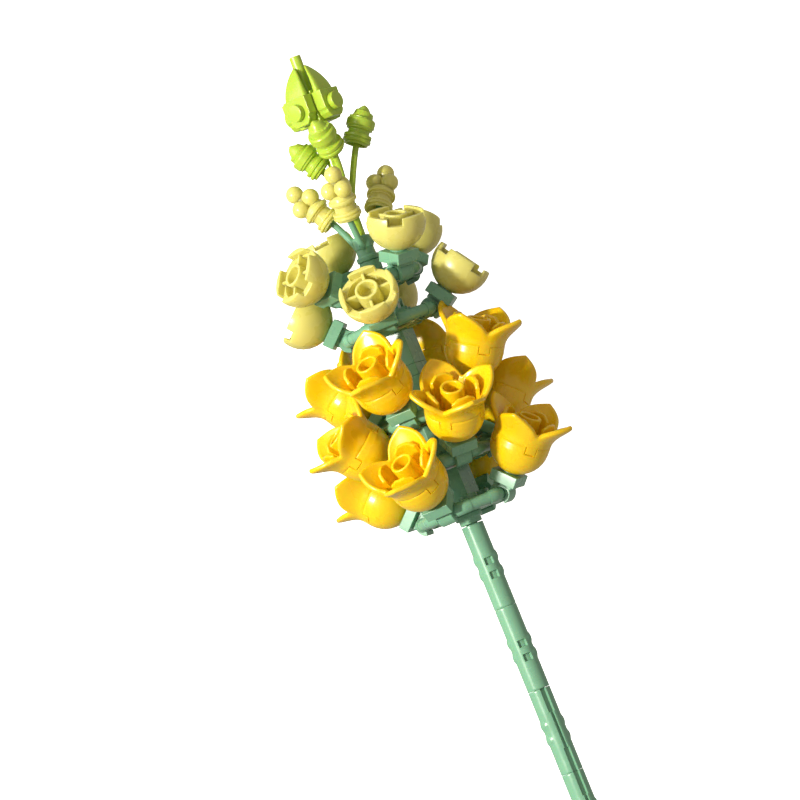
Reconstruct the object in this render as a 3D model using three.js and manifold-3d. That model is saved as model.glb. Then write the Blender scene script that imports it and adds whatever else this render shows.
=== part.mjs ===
// A snapdragon stem built from moulded plastic bricks, lying on its three lowest petals.
// Millimetres. The flower is built upright, with the stem along +Z and its front towards -Y,
// and is then laid down: stem along X, tip at +X, front up. Heights on the stem are measured
// from the top end of its first sleeve.
import * as THREE from "three";
import { mergeVertices } from "three/addons/utils/BufferGeometryUtils.js";
import Module from "manifold-3d";

const wasm = await Module();
wasm.setup();

// Brick system sizes
const UNIT = 8;
const PLATE = 3.2;
const STUD_RADIUS = 2.4;
const STUD_HEIGHT = 1.7;
const BAR_RADIUS = 1.6;
const GAP = 0.3;

// Stem: equal sleeves threaded on one core rod, with a flange under the flower head
const SLEEVE_COUNT = 9;
const SLEEVE_LENGTH = 24;
const SLEEVE_RADIUS = 3.1;
const SLEEVE_TURN = [0, 0, 200, 200, 10, 180, 0, 175, 5];
const SLEEVE_BUMP_AT = [0.41, 0.585];
const SLEEVE_BUMP = { width: 2.4, length: 2.6, proud: 0.32 };
const SLEEVE_GROOVE = { width: 1.7, depth: 0.5 };
const NECK_RADIUS = 3.1;
const FLANGE_RADIUS = 3.8;

// Head: five rings of four flowers, each flower clipped to a side of an octagonal bar frame.
// turn is the direction of the first flower of a ring, to the right of the front, lean is how
// far each of the four stands up from level, and spin is a flower's turn on its own foot. All
// are in degrees.
const BAR_RING_RADIUS = 12;
const HUB_SIDE = 15.6;
const COLUMN_SIDE = 8;
const RINGS = [
  { level: 4.8, turn: -25, lean: [48, 45, 47, 49], spin: [0, 0, 0, 0], flower: "bloom" },
  { level: 18.2, turn: 19, lean: [49, 49, 40, 50], spin: [0, 0, 0, 0], flower: "bloom" },
  { level: 31.8, turn: -23, lean: [51.5, 56, 56, 57], spin: [2, -4, 4, 8], flower: "bloom" },
  { level: 58.4, turn: -6, lean: [36, 34, 40, 47], spin: [0, 0, 0, 0], flower: "cup" },
  { level: 70.2, turn: -50, lean: [35, 64, 54, 84], spin: [0, 0, 0, 0], flower: "cup" },
];

// Clip tile: grips the bar and carries the flower, whose round body is centred at FLOWER_REACH
const FLOWER_REACH = 14.2;
const JAW = { outer: 3.1, inner: 1.9, width: 4.6, mouth: 100 };
const TILE_BOTTOM = 3;
const FLOWER_FOOT = { radius: 2.4, drop: 7.75 };
const TILE_TOP = FLOWER_REACH - FLOWER_FOOT.drop - GAP;

// Round body that the open bloom and the pale cup share
const BODY_RADIUS = 8.1;
const TUBE = { outer: 3.25, inner: 2.45, sides: 8 };
const AROUND = 16;

// Open bloom: four flared petals round a tube, with four short petals inside
const PETAL_TIP = { radius: 12.4, height: 9.6 };
const PETAL_VALLEY = { radius: 9, height: 5.2 };
const PETAL_WALL = 1;
const PETAL_ROUNDNESS = 1.7;
const BLOOM_TUBE_TOP = 8.5;
const INNER_PETAL = { outer: 7.4, inner: 6.2, half: 28, top: 8.6, side_drop: 1 };

// Pale cup: round body cut level, with a square opening that breaks its rim into four
const CUP_RIM = 2.3;
const CUP_OPENING = 12.4;
const CUP_OPENING_FLOOR = 0.2;
const CUP_BOWL = { radius: 6.1, floor: -3.6 };
const CUP_NOTCH = 4.2;
const CUP_RIB = { width: 0.8, top: 1.2 };

// Upper sprig: leans a little to the right of the stem's line
const SPRIG = { height: 73.8, offset: 0.9, lean: 2 };
const COLLAR = { foot: 2.95, disc_top: 3, flange: 3.2, flange_top: 4.3, body: 2.55, top: 10 };
const STALK_RADIUS = 0.9;

// Buds: where the stalk enters, as distance right of the sprig's line, towards the front and up
// it, with the direction the bud points in, turned from the front and tilted from the stem
const PALE_BUDS = [
  { foot: [-5.8, -0.8, 16], turn: -97, tilt: 33 },
  { foot: [-1.2, 6.4, 15], turn: 0, tilt: 20 },
  { foot: [6.8, -3.2, 15], turn: 140, tilt: 42 },
];
const LIME_BUDS = [
  { foot: [-3.3, -0.5, 30.4], turn: -88, tilt: 35 },
  { foot: [1.2, 4.2, 34], turn: -22, tilt: 38 },
  { foot: [7.4, -1.6, 34], turn: 100, tilt: 33 },
];
const BALL_RADIUS = 2.42;

// Tip: a core with four outward plates, each with a stud and an upward tooth
const TIP = { base: 42.4, plate_turn: -38, tooth: 7.4, rod_top: 62.2 };

// Lying pose: turned about its own line so that the hidden side is down, then dipped
const LIE = { turn: 5.2, dip: 1.7 };
const REST_TRIM = 0.7;

const COLOURS = {
  stem_green: 0x8fcfa6,
  petal_yellow: 0xf6c70f,
  pale_yellow: 0xe9dd7c,
  lime: 0xb4d334,
};
const plastic = (name, roughness = 0.25) =>
  new THREE.MeshStandardMaterial({ name, color: COLOURS[name], roughness, metalness: 0 });

const radians = THREE.MathUtils.degToRad;

// A three.js geometry as a solid, and a solid as a geometry
function solidOf(geometry) {
  const bare = geometry.clone();
  bare.deleteAttribute("normal");
  bare.deleteAttribute("uv");
  const merged = mergeVertices(bare);
  return new wasm.Manifold(
    new wasm.Mesh({
      numProp: 3,
      vertProperties: merged.attributes.position.array,
      triVerts: new Uint32Array(merged.index.array),
    }),
  );
}

function geometryOf(solid) {
  const mesh = solid.getMesh();
  const geometry = new THREE.BufferGeometry();
  geometry.setAttribute("position", new THREE.BufferAttribute(mesh.vertProperties, 3));
  geometry.setIndex(new THREE.BufferAttribute(mesh.triVerts, 1));
  geometry.computeVertexNormals();
  return geometry;
}

const joined = (solids) => solids.reduce((all, solid) => all.add(solid));

// Simple solids, standing on +Z
function box(width, depth, bottom, top, x = 0, y = 0) {
  const shape = new THREE.BoxGeometry(width, depth, top - bottom);
  return solidOf(shape.translate(x, y, (bottom + top) / 2));
}

function disc(radius, bottom, top, sides = 12, x = 0, y = 0) {
  const shape = new THREE.CylinderGeometry(radius, radius, top - bottom, sides);
  return solidOf(shape.rotateX(Math.PI / 2).translate(x, y, (bottom + top) / 2));
}

// A turned shape: points are [radius, height] from the bottom, round the outside and back in
function turnedGeometry(points, sides = 12) {
  const outline = points.map(([radius, height]) => new THREE.Vector2(radius, height));
  return new THREE.LatheGeometry(outline, sides).rotateX(Math.PI / 2);
}

const turned = (points, sides) => solidOf(turnedGeometry(points, sides));

function rodBetween(from, to, radius, sides = 8) {
  const a = new THREE.Vector3(...from);
  const b = new THREE.Vector3(...to);
  const line = b.clone().sub(a);
  const shape = new THREE.CylinderGeometry(radius, radius, line.length(), sides);
  const up = new THREE.Vector3(0, 1, 0);
  shape.applyQuaternion(new THREE.Quaternion().setFromUnitVectors(up, line.clone().normalize()));
  const middle = a.add(b).multiplyScalar(0.5);
  return solidOf(shape.translate(middle.x, middle.y, middle.z));
}

// A stalk that leaves `from` along `leave` and bends over to `to`
function stalk(from, leave, to, radius = STALK_RADIUS) {
  const curve = new THREE.QuadraticBezierCurve3(
    new THREE.Vector3(...from),
    new THREE.Vector3(...leave),
    new THREE.Vector3(...to),
  );
  const section = new THREE.Shape();
  section.absarc(0, 0, radius, 0, 2 * Math.PI);
  return solidOf(
    new THREE.ExtrudeGeometry(section, { extrudePath: curve, steps: 4, curveSegments: 3 }),
  );
}

function pointOnBud(bud, along) {
  const tilt = radians(bud.tilt);
  const turn = radians(bud.turn);
  const [right, front, up] = bud.foot;
  return [
    right + along * Math.sin(tilt) * Math.sin(turn),
    -front - along * Math.sin(tilt) * Math.cos(turn),
    up + along * Math.cos(tilt),
  ];
}

// One sleeve, its top end at z = 0
function sleeve() {
  const body = disc(SLEEVE_RADIUS, -SLEEVE_LENGTH + GAP, 0, 12);
  const bumps = [];
  for (const at of SLEEVE_BUMP_AT) {
    const middle = -SLEEVE_LENGTH * at;
    const half = SLEEVE_BUMP.length / 2;
    const reach = 2 * (SLEEVE_RADIUS + SLEEVE_BUMP.proud);
    bumps.push(box(reach, SLEEVE_BUMP.width, middle - half, middle + half));
  }
  const groove = box(
    SLEEVE_GROOVE.width,
    SLEEVE_GROOVE.depth,
    -SLEEVE_LENGTH,
    1,
    0,
    SLEEVE_RADIUS - SLEEVE_GROOVE.depth / 2 + 0.05,
  );
  const bore = disc(BAR_RADIUS + GAP, -SLEEVE_LENGTH - 1, 1, 8);
  return joined([body, ...bumps]).subtract(groove).subtract(bore);
}

// The rod inside the sleeves, its neck and the flange under the head, as one turned piece
function coreRod() {
  const foot = -SLEEVE_COUNT * SLEEVE_LENGTH + GAP;
  const top = RINGS[0].level - PLATE / 2 - GAP;
  const flangeBottom = top - 1.1;
  return turned([
    [0, foot],
    [BAR_RADIUS, foot],
    [BAR_RADIUS, GAP],
    [NECK_RADIUS, GAP],
    [NECK_RADIUS, flangeBottom],
    [FLANGE_RADIUS, flangeBottom],
    [FLANGE_RADIUS, top],
    [0, top],
  ]);
}

// A hub: a 2 x 2 plate inside an octagonal bar frame, with the column up to the next hub
function hub(columnTop) {
  const half = PLATE / 2;
  const parts = [box(HUB_SIDE, HUB_SIDE, -half, half)];
  for (const x of [-UNIT / 2, UNIT / 2])
    for (const y of [-UNIT / 2, UNIT / 2])
      parts.push(disc(STUD_RADIUS, 0, half + STUD_HEIGHT, 8, x, y));
  parts.push(box(COLUMN_SIDE, COLUMN_SIDE, 0, columnTop));
  const cornerRadius = BAR_RING_RADIUS / Math.cos(Math.PI / 8);
  const frame = new THREE.TorusGeometry(cornerRadius, BAR_RADIUS, 8, 8);
  parts.push(solidOf(frame.rotateZ(Math.PI / 8)));
  return joined(parts);
}

// A clip tile in the bar's own frame: bar along X, flower towards +Z
function clipTile() {
  const open = radians(JAW.mouth / 2);
  const start = -Math.PI / 2 + open;
  const end = -Math.PI / 2 - open + 2 * Math.PI;
  const outline = new THREE.Shape();
  outline.absarc(0, 0, JAW.outer, start, end, false);
  outline.absarc(0, 0, JAW.inner, end, start, true);
  const jaws = new THREE.ExtrudeGeometry(outline, {
    depth: JAW.width,
    bevelEnabled: false,
    curveSegments: 4,
  });
  jaws.translate(0, 0, -JAW.width / 2);
  jaws.applyMatrix4(
    new THREE.Matrix4().makeBasis(
      new THREE.Vector3(0, 1, 0),
      new THREE.Vector3(0, 0, 1),
      new THREE.Vector3(1, 0, 0),
    ),
  );
  return solidOf(jaws).add(box(UNIT - 0.2, UNIT - 0.2, TILE_BOTTOM, TILE_TOP));
}

// How far a point round the bloom is from a petal's middle: 0 there, 1 in the valley
function awayFromPetal(x, y) {
  const quarter = Math.PI / 2;
  const angle = Math.abs(Math.atan2(y, x)) % quarter;
  return Math.min(angle, quarter - angle) / (quarter / 2);
}

// The open bloom, centred on its round body and opening along +Z. The crown's rings are given
// at a petal's middle, with the valley's radius and height after them.
function bloom() {
  const { radius: tipR, height: tipH } = PETAL_TIP;
  const { radius: lowR, height: lowH } = PETAL_VALLEY;
  const profile = [
    [0, -FLOWER_FOOT.drop],
    [FLOWER_FOOT.radius, -FLOWER_FOOT.drop],
    [6, -5.44],
    [BODY_RADIUS - 0.05, -0.6],
    [9, 5.4, 8.2, 3.2],
    [tipR, tipH - 0.3, lowR, lowH],
    [tipR - PETAL_WALL, tipH, lowR - PETAL_WALL, lowH + 0.2],
    [8.1, 5.7, 7.4, 3.4],
    [6.5, 0.6],
    [0, -2.4],
  ];
  const shape = turnedGeometry(profile.map(([r, h]) => [r, h]), AROUND);
  const place = shape.attributes.position;
  for (let i = 0; i < place.count; i += 1) {
    const [r, h, valleyR, valleyH] = profile[i % profile.length];
    if (valleyR === undefined) continue;
    const x = place.getX(i);
    const y = place.getY(i);
    const fall = awayFromPetal(x, y) ** PETAL_ROUNDNESS;
    const radius = r + (valleyR - r) * fall;
    const scale = radius / Math.hypot(x, y);
    place.setXYZ(i, x * scale, y * scale, h + (valleyH - h) * fall);
  }
  const inside = [disc(TUBE.outer, -3.2, BLOOM_TUBE_TOP, TUBE.sides)];
  for (let i = 0; i < 4; i += 1) inside.push(innerPetal(90 * i));
  const bore = disc(TUBE.inner, 3, BLOOM_TUBE_TOP + 1, TUBE.sides);
  return joined([solidOf(shape), ...inside]).subtract(bore);
}

// One short petal inside the bloom: a piece of ring that is highest in its middle
function innerPetal(turn) {
  const half = radians(INNER_PETAL.half);
  const outline = new THREE.Shape();
  outline.absarc(0, 0, INNER_PETAL.outer, -half, half, false);
  outline.absarc(0, 0, INNER_PETAL.inner, half, -half, true);
  const shape = new THREE.ExtrudeGeometry(outline, {
    depth: INNER_PETAL.top,
    bevelEnabled: false,
    curveSegments: 1,
  });
  const place = shape.attributes.position;
  for (let i = 0; i < place.count; i += 1) {
    if (place.getZ(i) < INNER_PETAL.top / 2) continue;
    const away = Math.abs(Math.atan2(place.getY(i), place.getX(i))) / half;
    place.setZ(i, INNER_PETAL.top - INNER_PETAL.side_drop * away * away);
  }
  return solidOf(shape.rotateZ(radians(turn)));
}

// The pale cup, centred on its round body and opening along +Z
function cup() {
  const sphereAt = (height) => Math.sqrt(BODY_RADIUS ** 2 - height ** 2);
  const outside = turned(
    [
      [0, -FLOWER_FOOT.drop],
      [FLOWER_FOOT.radius, -FLOWER_FOOT.drop],
      [sphereAt(-6.2), -6.2],
      [sphereAt(-2.6), -2.6],
      [sphereAt(CUP_RIM), CUP_RIM],
      [0, CUP_RIM],
    ],
    AROUND,
  );
  const opening = box(CUP_OPENING, CUP_OPENING, CUP_OPENING_FLOOR, CUP_RIM + 1);
  const slot = () => box(CUP_NOTCH, 3 * BODY_RADIUS, CUP_OPENING_FLOOR, CUP_RIM + 1);
  const notches = slot().rotate([0, 0, 45]).add(slot().rotate([0, 0, -45]));
  const bowl = disc(CUP_BOWL.radius, CUP_BOWL.floor, CUP_RIM, TUBE.sides);
  const ribReach = CUP_OPENING + 0.6;
  const fitted = [
    disc(TUBE.outer, CUP_BOWL.floor - 0.5, CUP_RIM, TUBE.sides),
    box(ribReach, CUP_RIB.width, CUP_BOWL.floor - 0.5, CUP_RIB.top),
    box(CUP_RIB.width, ribReach, CUP_BOWL.floor - 0.5, CUP_RIB.top),
  ];
  const bore = disc(TUBE.inner, -1.5, CUP_RIM + 1, TUBE.sides);
  return joined([outside.subtract(opening).subtract(notches).subtract(bowl), ...fitted]).subtract(bore);
}

// The green collar with its three stalks, its foot at z = 0
function collar() {
  const body = turned([
    [0, 0],
    [COLLAR.foot, 0],
    [COLLAR.foot, COLLAR.disc_top],
    [COLLAR.flange, COLLAR.disc_top],
    [COLLAR.flange, COLLAR.flange_top],
    [COLLAR.body, COLLAR.flange_top],
    [COLLAR.body, COLLAR.top],
    [0, COLLAR.top],
  ]);
  const stalks = PALE_BUDS.map((bud) => {
    const turn = radians(bud.turn);
    const root = [1.4 * Math.sin(turn), -1.4 * Math.cos(turn), COLLAR.flange_top + 1.5];
    return stalk(root, pointOnBud(bud, -4), pointOnBud(bud, 2.5));
  });
  const socket = disc(BAR_RADIUS + GAP, COLLAR.top - 2.5, COLLAR.top + 1, 8);
  return joined([body, ...stalks]).subtract(socket);
}

// A pale bud, its open end at z = 0: two ribbed rings, a neck and four balls
function paleBud() {
  const body = turned(
    [
      [0, 2.9],
      [1.5, 2.9],
      [1.5, 1.2],
      [3, 0],
      [3.9, 0.1],
      [3.95, 2],
      [2.9, 2.6],
      [2.8, 5],
      [3.9, 5.4],
      [3.8, 7.1],
      [0, 7.9],
    ],
    8,
  );
  const ball = (x, y, z) =>
    solidOf(new THREE.SphereGeometry(BALL_RADIUS, 6, 4).translate(x, y, z));
  const spread = (2 * BALL_RADIUS) / Math.sqrt(3);
  const balls = [ball(0, 0, 13), disc(1.5, 7, 12.5, 6)];
  for (let i = 0; i < 3; i += 1) {
    const angle = radians(120 * i);
    balls.push(ball(spread * Math.sin(angle), -spread * Math.cos(angle), 9.1));
  }
  return joined([body, ...balls]);
}

// A lime bud, its open end at z = 0: two rings, a neck and a stepped cone
function limeBud() {
  return turned(
    [
      [0, 2.4],
      [2.6, 2],
      [3, 0],
      [3.7, 0.1],
      [3.9, 2.1],
      [3.1, 2.6],
      [3, 4.6],
      [3.95, 5],
      [3.95, 7.3],
      [2.9, 8],
      [2.1, 9.6],
      [0, 11.3],
    ],
    8,
  );
}

function placedOnBud(solid, bud) {
  const [right, front, up] = bud.foot;
  const place = new THREE.Matrix4().makeTranslation(right, -front, up);
  place.multiply(new THREE.Matrix4().makeRotationZ(radians(bud.turn)));
  place.multiply(new THREE.Matrix4().makeRotationX(radians(bud.tilt)));
  return solidOf(geometryOf(solid).applyMatrix4(place));
}

// The lime sprig: a stem that stands in the collar, with three stalks, their buds and the tip
function limeSprig() {
  const fork = COLLAR.top + 8.5;
  const foot = COLLAR.top - 2.5 + GAP;
  const stem = rodBetween([0, 0, foot], [0, 0, TIP.base + 1], BAR_RADIUS, 8);
  const tip = geometryOf(limeTip()).rotateZ(radians(TIP.plate_turn)).translate(0, 0, TIP.base);
  const parts = [stem, solidOf(tip)];
  for (const bud of LIME_BUDS) {
    const turn = radians(bud.turn);
    const root = [0.6 * Math.sin(turn), -0.6 * Math.cos(turn), fork];
    parts.push(stalk(root, pointOnBud(bud, -4), pointOnBud(bud, 3)));
    parts.push(placedOnBud(limeBud(), bud));
  }
  return joined(parts);
}

// The tip: a core brick, four plates with studs and curved teeth, and a rod on top
function limeTip() {
  const half = UNIT / 2;
  const middle = UNIT / 2 + 0.4;
  const parts = [box(UNIT - 0.4, UNIT - 0.4, 0, UNIT + 1.2)];
  parts.push(rodBetween([0, 0, UNIT], [0, 0, TIP.rod_top - TIP.base], BAR_RADIUS, 10));
  for (let side = 0; side < 4; side += 1) {
    const outer = half + PLATE;
    const plate = box(UNIT, PLATE + 0.4, middle - half, middle + half, 0, -(half + PLATE / 2 - 0.2));
    const stud = rodBetween([0, -outer + 1, middle], [0, -outer - STUD_HEIGHT, middle], STUD_RADIUS, 10);
    const piece = joined([plate, stud, tooth(middle + half)]);
    parts.push(solidOf(geometryOf(piece).rotateZ(radians(90 * side))));
  }
  return joined(parts);
}

// The curved tooth of a tip plate: a pointed blade that bends over the core
function tooth(bottom) {
  const outline = new THREE.Shape();
  const half = 2.35;
  outline.moveTo(-half, -0.6);
  outline.lineTo(half, -0.6);
  outline.quadraticCurveTo(half, TIP.tooth * 0.55, 0, TIP.tooth);
  outline.quadraticCurveTo(-half, TIP.tooth * 0.55, -half, -0.6);
  const shape = new THREE.ExtrudeGeometry(outline, {
    depth: 2.4,
    bevelEnabled: false,
    curveSegments: 4,
  });
  shape.rotateX(Math.PI / 2).translate(0, -UNIT / 2 - 0.4, bottom);
  const place = shape.attributes.position;
  for (let i = 0; i < place.count; i += 1) {
    const up = Math.max(0, place.getZ(i) - bottom) / TIP.tooth;
    const isOuter = place.getY(i) < -UNIT / 2 - 1.6;
    place.setY(i, place.getY(i) + (isOuter ? 2.6 : 1.2) * up * up);
  }
  return solidOf(shape);
}

const flower = new THREE.Group();
const laid = new THREE.Group();
const upright = new THREE.Group();
flower.add(laid);
laid.add(upright);

function addPiece(parent, name, solid, material) {
  const mesh = new THREE.Mesh(geometryOf(solid), material);
  mesh.name = name;
  parent.add(mesh);
  return mesh;
}

function groupIn(parent, { x = 0, y = 0, z = 0, turn = 0, tip = 0 } = {}) {
  const group = new THREE.Group();
  group.position.set(x, y, z);
  group.rotation.order = "ZXY";
  group.rotation.z = radians(turn);
  group.rotation.x = radians(tip);
  parent.add(group);
  return group;
}

// Stem
for (let i = 0; i < SLEEVE_COUNT; i += 1) {
  const at = groupIn(upright, { z: -i * SLEEVE_LENGTH, turn: SLEEVE_TURN[i] });
  addPiece(at, `stem_sleeve_${i + 1}`, sleeve(), plastic("stem_green", 0.3));
}
addPiece(upright, "core_rod", coreRod(), plastic("stem_green", 0.3));

// Head
const FLOWERS = {
  bloom: { solid: bloom(), colour: "petal_yellow" },
  cup: { solid: cup(), colour: "pale_yellow" },
};
const tile = clipTile();
RINGS.forEach((ring, index) => {
  const next = RINGS[index + 1];
  const ceiling = next ? next.level - PLATE / 2 : SPRIG.height - 0.1;
  const at = groupIn(upright, { z: ring.level, turn: ring.turn });
  const number = index + 1;
  addPiece(at, `hub_plate_${number}`, hub(ceiling - GAP - ring.level), plastic("stem_green"));
  ring.lean.forEach((lean, place) => {
    const side = groupIn(at, { turn: 90 * place });
    const arm = groupIn(side, { y: -BAR_RING_RADIUS, tip: 90 - lean });
    addPiece(arm, `clip_tile_${number}_${place + 1}`, tile, plastic("stem_green"));
    const { solid, colour } = FLOWERS[ring.flower];
    const seat = groupIn(arm, { z: FLOWER_REACH, turn: ring.spin[place] });
    addPiece(seat, `${ring.flower}_${number}_${place + 1}`, solid, plastic(colour));
  });
});

// Sprig
const sprig = new THREE.Group();
sprig.position.set(SPRIG.offset, 0, SPRIG.height);
sprig.rotation.y = radians(SPRIG.lean);
upright.add(sprig);
addPiece(sprig, "collar_sprig", collar(), plastic("stem_green"));
PALE_BUDS.forEach((bud, index) => {
  const [right, front, up] = bud.foot;
  const seat = groupIn(sprig, { x: right, y: -front, z: up, turn: bud.turn, tip: bud.tilt });
  addPiece(seat, `pale_bud_${index + 1}`, paleBud(), plastic("pale_yellow"));
});
addPiece(sprig, "lime_sprig", limeSprig(), plastic("lime"));

// Laying down: front up, stem along X, then a small dip of the tip end
upright.rotation.z = radians(LIE.turn);
laid.rotation.order = "YZX";
laid.rotation.set(-Math.PI / 2, radians(LIE.dip), -Math.PI / 2);

// The lowest petals are worn to small flats on the floor, and the origin is under the middle
flower.updateMatrixWorld(true);
const floor = new THREE.Box3().setFromObject(flower, true).min.z + REST_TRIM;
flower.traverse((piece) => {
  if (!piece.isMesh) return;
  const reach = new THREE.Box3().setFromObject(piece, true);
  if (reach.min.z >= floor) return;
  const place = piece.matrixWorld;
  const below = box(1000, 1000, floor - 100, floor);
  const cut = solidOf(piece.geometry.clone().applyMatrix4(place)).subtract(below);
  piece.geometry = geometryOf(cut).applyMatrix4(place.clone().invert());
});
const reach = new THREE.Box3().setFromObject(flower, true);
const centre = reach.getCenter(new THREE.Vector3());
laid.position.set(-centre.x, -centre.y, -reach.min.z);

export default flower;
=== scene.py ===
"""A snapdragon stem built from glossy moulded toy bricks, lying on its lowest petals.

The shapes are made in millimetres on an upright flower, stem along +Z and front towards -Y, and
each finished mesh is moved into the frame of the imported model, in metres. The panel's lengths
are in Blender's own unit.
"""
import math

import bmesh
import bpy
import numpy as np
from mathutils import Matrix, Vector


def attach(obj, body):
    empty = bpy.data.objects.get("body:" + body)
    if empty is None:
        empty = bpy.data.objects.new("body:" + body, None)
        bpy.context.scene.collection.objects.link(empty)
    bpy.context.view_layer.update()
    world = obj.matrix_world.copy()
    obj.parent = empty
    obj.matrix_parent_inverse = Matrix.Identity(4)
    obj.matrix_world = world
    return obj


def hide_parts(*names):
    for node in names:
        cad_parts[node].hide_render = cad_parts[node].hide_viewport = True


bl_info = {
    "name": "Brick-built snapdragon",
    "version": (1, 0, 0),
    "blender": (4, 5, 0),
    "location": "3D View > Sidebar > Snapdragon",
    "description": "Builds the pieces of a snapdragon stem made of moulded toy bricks",
    "category": "Add Mesh",
}

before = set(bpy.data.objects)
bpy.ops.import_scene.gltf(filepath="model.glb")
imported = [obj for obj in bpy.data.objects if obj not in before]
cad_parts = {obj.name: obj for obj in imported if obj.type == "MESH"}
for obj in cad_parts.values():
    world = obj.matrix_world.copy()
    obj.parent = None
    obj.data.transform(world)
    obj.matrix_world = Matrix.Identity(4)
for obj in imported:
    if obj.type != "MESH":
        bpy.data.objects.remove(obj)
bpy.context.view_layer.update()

# Brick system and head, in mm and degrees, the same values as in the part's source
UNIT = 8.0
PLATE = 3.2
STUD_RADIUS = 2.4
STUD_HEIGHT = 1.7
BAR_RADIUS = 1.6
GAP = 0.3
SLEEVE_COUNT = 9
SLEEVE_LENGTH = 24.0
SLEEVE_RADIUS = 3.1
SLEEVE_TURN = [0, 0, 200, 200, 10, 180, 0, 175, 5]
NECK_RADIUS = 3.1
FLANGE_RADIUS = 3.8
BAR_RING_RADIUS = 12.0
HUB_SIDE = 15.6
COLUMN_SIDE = 8.0
RINGS = [
    {"level": level, "turn": turn, "lean": lean, "spin": spin, "flower": flower}
    for level, turn, lean, spin, flower in (
        (4.8, -25, (48, 45, 47, 49), (0, 0, 0, 0), "bloom"),
        (18.2, 19, (49, 49, 40, 50), (0, 0, 0, 0), "bloom"),
        (31.8, -23, (51.5, 56, 56, 57), (2, -4, 4, 8), "bloom"),
        (58.4, -6, (36, 34, 40, 47), (0, 0, 0, 0), "cup"),
        (70.2, -50, (35, 64, 54, 84), (0, 0, 0, 0), "cup"),
    )
]
FLOWER_REACH = 14.2
SPRIG = {"height": 73.8, "offset": 0.9, "lean": 2.0}
PALE_BUDS = [
    {"foot": (-5.8, -0.8, 16), "turn": -97, "tilt": 33},
    {"foot": (-1.2, 6.4, 15), "turn": 0, "tilt": 20},
    {"foot": (6.8, -3.2, 15), "turn": 140, "tilt": 42},
]
LIME_BUDS = [
    {"foot": (-3.3, -0.5, 30.4), "turn": -88, "tilt": 35},
    {"foot": (1.2, 4.2, 34), "turn": -22, "tilt": 38},
    {"foot": (7.4, -1.6, 34), "turn": 100, "tilt": 33},
]
COLLAR_TOP = 10.0
TIP = {"base": 42.4, "turn": -38, "rod_top": 62.2}
LIE = {"turn": 5.2, "dip": 1.7}
ZERO_POINT = (39.8626, 0.2867, 34.6266)

# Finish of the dressed pieces, in mm and degrees
LOWEST = 0.02
WELD = 0.0005
SHARP_ANGLE = 48

# The photograph's view: the spot at its middle in mm right of the stem's foot and up from it,
# the angles in degrees, and the distance and the width of the field in metres
VIEW = {"right": -5.4, "up": 38.55, "tilt": -3.35, "roll": 22.06, "distance": 1.6, "field": 0.2162}


def turn_about(axis, degrees):
    return Matrix.Rotation(math.radians(degrees), 4, axis)


def shift(x=0.0, y=0.0, z=0.0):
    return Matrix.Translation((x, y, z))


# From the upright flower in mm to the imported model's frame in metres
UPRIGHT = (
    Matrix.Scale(0.001, 4)
    @ shift(*ZERO_POINT)
    @ turn_about("Y", LIE["dip"])
    @ turn_about("Z", -90)
    @ turn_about("X", -90)
    @ turn_about("Z", LIE["turn"])
)
SPRIG_AT = UPRIGHT @ shift(SPRIG["offset"], 0, SPRIG["height"]) @ turn_about("Y", SPRIG["lean"])


def ring_at(ring):
    return UPRIGHT @ shift(z=ring["level"]) @ turn_about("Z", ring["turn"])


def arm_at(ring, place):
    side = ring_at(ring) @ turn_about("Z", 90 * place)
    return side @ shift(y=-BAR_RING_RADIUS) @ turn_about("X", 90 - ring["lean"][place])


def seat_at(ring, place):
    return arm_at(ring, place) @ shift(z=FLOWER_REACH) @ turn_about("Z", ring["spin"][place])


def on_sprig(bud):
    """A bud's place on the sprig, still in mm."""
    right, front, up = bud["foot"]
    return shift(right, -front, up) @ turn_about("Z", bud["turn"]) @ turn_about("X", bud["tilt"])


# Meshes: every maker returns (vertices, faces) in mm

def between(a, b, t):
    return a + (b - a) * t


def around_axis(radius, angle, height):
    """Points by distance from the axis, angle from the front and height; one of them a list."""
    columns = np.broadcast_arrays(radius * np.sin(angle), -radius * np.cos(angle), height)
    return np.stack(columns, 1)


def joined(parts):
    """Several (vertices, faces) as one."""
    vertices, faces = [], []
    for points, sides in parts:
        start = len(vertices)
        vertices.extend([tuple(p) for p in points])
        faces.extend([tuple(i + start for i in side) for side in sides])
    return vertices, faces


def moved(shape, matrix):
    points, faces = shape
    return [tuple(matrix @ Vector(p)) for p in points], faces


def rounded(points, radius, steps=3):
    """A profile with its inner corners replaced by short arcs."""
    out = [points[0]]
    for before, here, after in zip(points, points[1:], points[2:]):
        a, b, c = Vector(before), Vector(here), Vector(after)
        to_a, to_c = a - b, c - b
        if to_a.length < 1e-6 or to_c.length < 1e-6:
            continue
        if to_a.angle(to_c) > math.radians(155):
            out.append(tuple(here))
            continue
        reach = min(radius, to_a.length * 0.45, to_c.length * 0.45)
        start, end = b + to_a.normalized() * reach, b + to_c.normalized() * reach
        for i in range(steps + 1):
            t = i / steps
            spot = start * (1 - t) ** 2 + b * 2 * t * (1 - t) + end * t * t
            out.append((spot.x, spot.y))
    out.append(points[-1])
    return out


def surface(rings, closed=True):
    """A skin over rings of points; a ring at one point is a pole, and closed rings go all round."""
    vertices, faces, starts = [], [], []
    for ring in rings:
        starts.append(len(vertices))
        flat = np.ptp(ring, axis=0).max() < 1e-6
        vertices.extend([tuple(p) for p in (ring[:1] if flat else ring)])
    starts.append(len(vertices))
    around = len(rings[0])
    for i in range(len(rings) - 1):
        a, b = starts[i], starts[i + 1]
        count_a, count_b = b - a, starts[i + 2] - b
        for j in range(around if closed else around - 1):
            k = (j + 1) % around
            if count_a == 1 and count_b > 1:
                faces.append((a, b + k, b + j))
            elif count_b == 1 and count_a > 1:
                faces.append((a + j, a + k, b))
            elif count_a > 1:
                faces.append((a + j, a + k, b + k, b + j))
    return vertices, faces


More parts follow.
